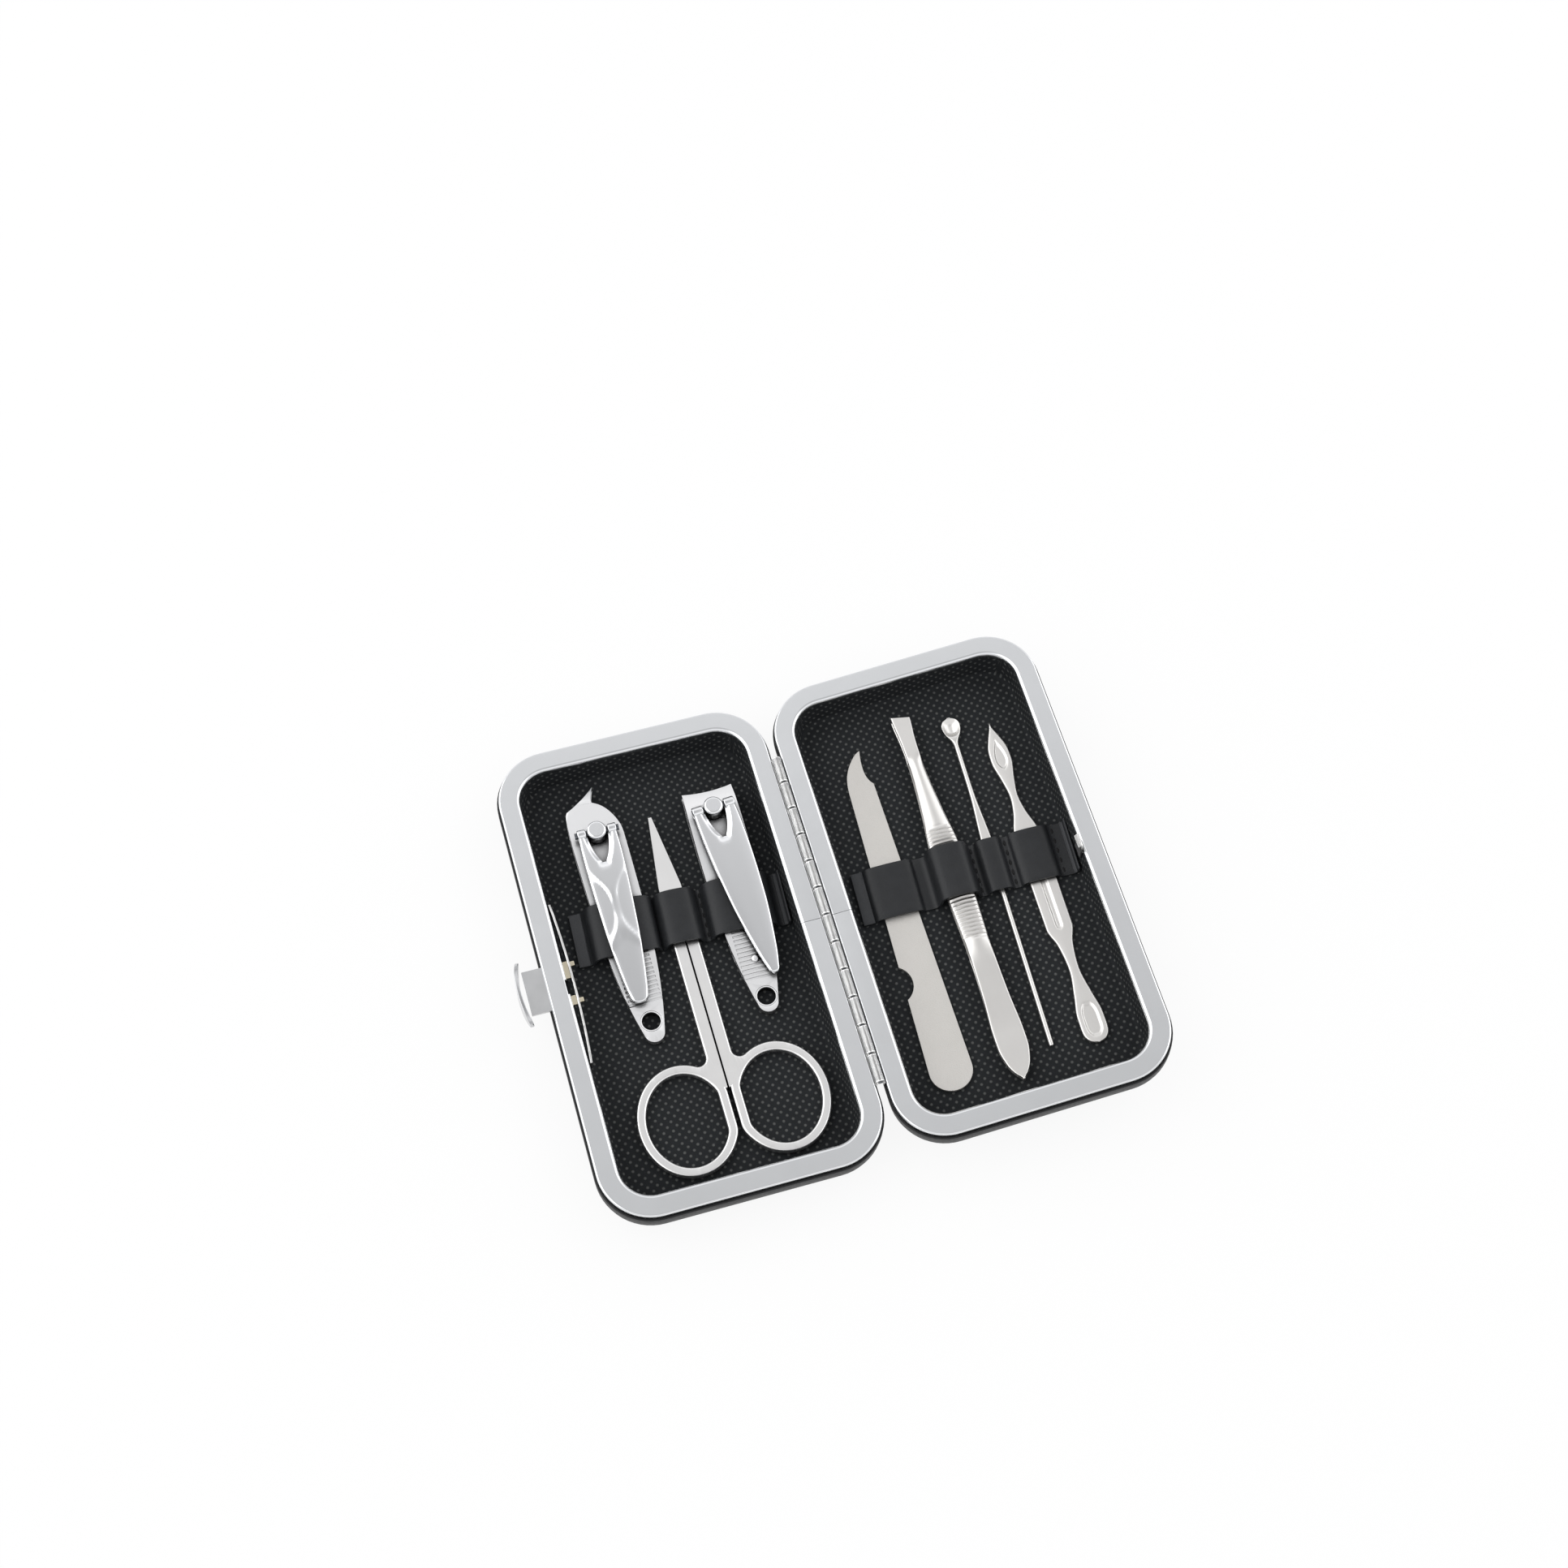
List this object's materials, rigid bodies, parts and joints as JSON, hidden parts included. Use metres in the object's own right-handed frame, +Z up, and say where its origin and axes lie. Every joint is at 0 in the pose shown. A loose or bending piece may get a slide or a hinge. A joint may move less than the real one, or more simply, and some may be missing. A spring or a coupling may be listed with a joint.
{
  "type": "manicure set case",
  "caption": "Folding hard-shell manicure case, open, with clippers, scissors, nail file, tweezers, ear pick and cuticle pusher held by straps.",
  "frame": {"origin": "middle of the base's flat underside", "axes": "+X from the clasp towards the lid, +Y along the hinge towards the jaws of the clippers, +Z up"},
  "size_m": [0.1295, 0.109, 0.0209],
  "materials": {
    "leatherette": "fine-grained black leatherette",
    "core_board": "moulded shell",
    "padding": "soft foam",
    "dotted_lining": "black cloth with small grey dots",
    "rim_metal": "satin silver with a bright lip",
    "strap_leather": "smooth dark strap, stitched",
    "hardware_steel": "plated steel",
    "clipper_chrome": "polished chrome",
    "file_steel": "matt abrasive surface",
    "tool_steel": "satin steel"
  },
  "bodies": {
    "base": {"base_cover": "leatherette", "base_core": "core_board", "base_padding": "padding", "base_lining": "dotted_lining", "base_rim": "rim_metal", "base_strap": "strap_leather", "base_hinge_leaf": "hardware_steel", "hinge_pin": "hardware_steel", "clasp_spring": "hardware_steel"},
    "lid": {"lid_cover": "leatherette", "lid_core": "core_board", "lid_padding": "padding", "lid_lining": "dotted_lining", "lid_rim": "rim_metal", "lid_strap": "strap_leather", "lid_hinge_leaf": "hardware_steel", "clasp_catch": "hardware_steel"},
    "clasp": {"clasp_tab": "hardware_steel", "clasp_thumb_plate": "hardware_steel"},
    "oblique_clipper": {"oblique_clipper_lower_arm": "clipper_chrome", "oblique_clipper_eyelet": "clipper_chrome"},
    "oblique_clipper_jaw": {"oblique_clipper_upper_arm": "clipper_chrome"},
    "oblique_clipper_swivel": {"oblique_clipper_post": "clipper_chrome", "oblique_clipper_cross_pin": "clipper_chrome"},
    "oblique_clipper_handle": {"oblique_clipper_lever": "clipper_chrome"},
    "straight_clipper": {"straight_clipper_lower_arm": "clipper_chrome", "straight_clipper_eyelet": "clipper_chrome"},
    "straight_clipper_jaw": {"straight_clipper_upper_arm": "clipper_chrome"},
    "straight_clipper_swivel": {"straight_clipper_post": "clipper_chrome", "straight_clipper_cross_pin": "clipper_chrome"},
    "straight_clipper_handle": {"straight_clipper_lever": "clipper_chrome"},
    "scissors": {"scissors_right_half": "tool_steel", "scissors_screw": "tool_steel"},
    "scissors_blade": {"scissors_left_half": "tool_steel"},
    "tweezers": {"tweezers_lower_arm": "tool_steel"},
    "tweezers_arm": {"tweezers_upper_arm": "tool_steel"},
    "nail_file": {"nail_file": "file_steel"},
    "ear_pick": {"ear_pick": "tool_steel"},
    "cuticle_pusher": {"cuticle_pusher": "tool_steel"}
  },
  "joints": [
    {"name": "case_hinge", "type": "hinge", "parent": "base", "child": "lid", "pos_m": [0.03125, 0, 0.0121], "axis": [0, 1, 0], "range_deg": [-174, 0]},
    {"name": "clasp_push", "type": "slide", "parent": "base", "child": "clasp", "axis": [1, 0, 0], "range_m": [0, 0.0012], "stiffness_N_per_m": 600, "deforming": ["clasp_spring"]},
    {"name": "oblique_clipper_slide", "type": "slide", "parent": "base", "child": "oblique_clipper", "axis": [0, 1, 0], "range_m": [0, 0.003]},
    {"name": "oblique_clipper_bite", "type": "hinge", "parent": "oblique_clipper", "child": "oblique_clipper_jaw", "pos_m": [-0.01047, -0.0071, 0.0052], "axis": [-0.9999, -0.0133, 0], "range_deg": [0, 1.5], "stiffness_Nm_per_rad": 5},
    {"name": "oblique_clipper_swivel_turn", "type": "hinge", "parent": "oblique_clipper", "child": "oblique_clipper_swivel", "pos_m": [-0.011, 0.0329, 0.0101], "axis": [0, 0, 1], "range_deg": [-10, 10]},
    {"name": "oblique_clipper_lever_lift", "type": "hinge", "parent": "oblique_clipper_swivel", "child": "oblique_clipper_handle", "pos_m": [-0.011, 0.0329, 0.0101], "axis": [-0.9999, 0.014, 0], "range_deg": [0, 120]},
    {"name": "straight_clipper_slide", "type": "slide", "parent": "base", "child": "straight_clipper", "axis": [0, 1, 0], "range_m": [0, 0.004]},
    {"name": "straight_clipper_bite", "type": "hinge", "parent": "straight_clipper", "child": "straight_clipper_jaw", "pos_m": [0.01465, -0.0081, 0.0052], "axis": [-1, 0.0087, 0], "range_deg": [0, 1.5], "stiffness_Nm_per_rad": 5},
    {"name": "straight_clipper_swivel_turn", "type": "hinge", "parent": "straight_clipper", "child": "straight_clipper_swivel", "pos_m": [0.015, 0.0319, 0.0101], "axis": [0, 0, -1], "range_deg": [-6, 12]},
    {"name": "straight_clipper_lever_lift", "type": "hinge", "parent": "straight_clipper_swivel", "child": "straight_clipper_handle", "pos_m": [0.015, 0.0319, 0.0101], "axis": [-0.9974, -0.0715, 0], "range_deg": [0, 120]},
    {"name": "scissors_slide", "type": "slide", "parent": "base", "child": "scissors", "axis": [0, 1, 0], "range_m": [0, 0.0035]},
    {"name": "scissors_open", "type": "hinge", "parent": "scissors", "child": "scissors_blade", "pos_m": [0.00135, 0.012, 0.0052], "axis": [0, 0, -1], "range_deg": [0, 5]},
    {"name": "tweezers_slide", "type": "slide", "parent": "lid", "child": "tweezers", "axis": [0, 1, 0], "range_m": [0, 0.002]},
    {"name": "tweezers_squeeze", "type": "hinge", "parent": "tweezers", "child": "tweezers_arm", "pos_m": [0.06096, -0.0345, 0.00914], "axis": [-0.9945, 0, -0.1045], "range_deg": [0, 1.1], "stiffness_Nm_per_rad": 2},
    {"name": "nail_file_slide", "type": "slide", "parent": "lid", "child": "nail_file", "axis": [0, 1, 0], "range_m": [0, 0.006]},
    {"name": "ear_pick_slide", "type": "slide", "parent": "lid", "child": "ear_pick", "axis": [0, 1, 0], "range_m": [0, 0.005]},
    {"name": "cuticle_pusher_slide", "type": "slide", "parent": "lid", "child": "cuticle_pusher", "axis": [0, 1, 0], "range_m": [0, 0.006]}
  ]
}
